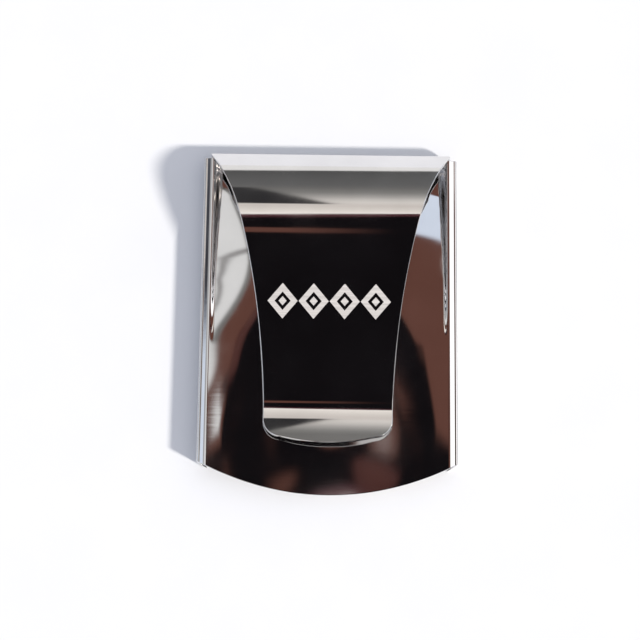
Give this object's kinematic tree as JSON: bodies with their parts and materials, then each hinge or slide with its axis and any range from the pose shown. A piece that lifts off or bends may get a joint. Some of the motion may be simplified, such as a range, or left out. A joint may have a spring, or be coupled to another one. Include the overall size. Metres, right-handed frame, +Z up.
{
  "type": "money clip",
  "caption": "Double-sided money clip pressed from polished steel sheet: sprung tongue over a dished plate for banknotes, rolled side rails for cards behind.",
  "frame": {"origin": "centre of the bounding box on the surface that the card rails rest on", "axes": "+X to the clip's right, +Y from the open near end to the folded far end, +Z up out of the banknote side"},
  "size_m": [0.057, 0.0776, 0.0114],
  "materials": {
    "polished_steel": "mirror polished stainless steel with fine handling marks",
    "etched_steel": "laser-etched matte mark with fine horizontal brushing"
  },
  "bodies": {
    "card_frame": {"money_plate": "polished_steel", "left_rail_roll": "polished_steel", "left_rail_lip": "polished_steel", "right_rail_roll": "polished_steel", "right_rail_lip": "polished_steel", "root_fold": "polished_steel"},
    "spring_tongue": {"spring_arch": "polished_steel", "clip_pad": "polished_steel", "clip_tip": "polished_steel"}
  },
  "joints": [
    {"name": "tongue_flex", "type": "hinge", "parent": "card_frame", "child": "spring_tongue", "pos_m": [0, 0.0368, 0.0024], "axis": [-1, 0, 0], "range_deg": [0, 8], "stiffness_Nm_per_rad": 1, "springref_deg": -3.44, "deforming": ["root_fold"]}
  ]
}
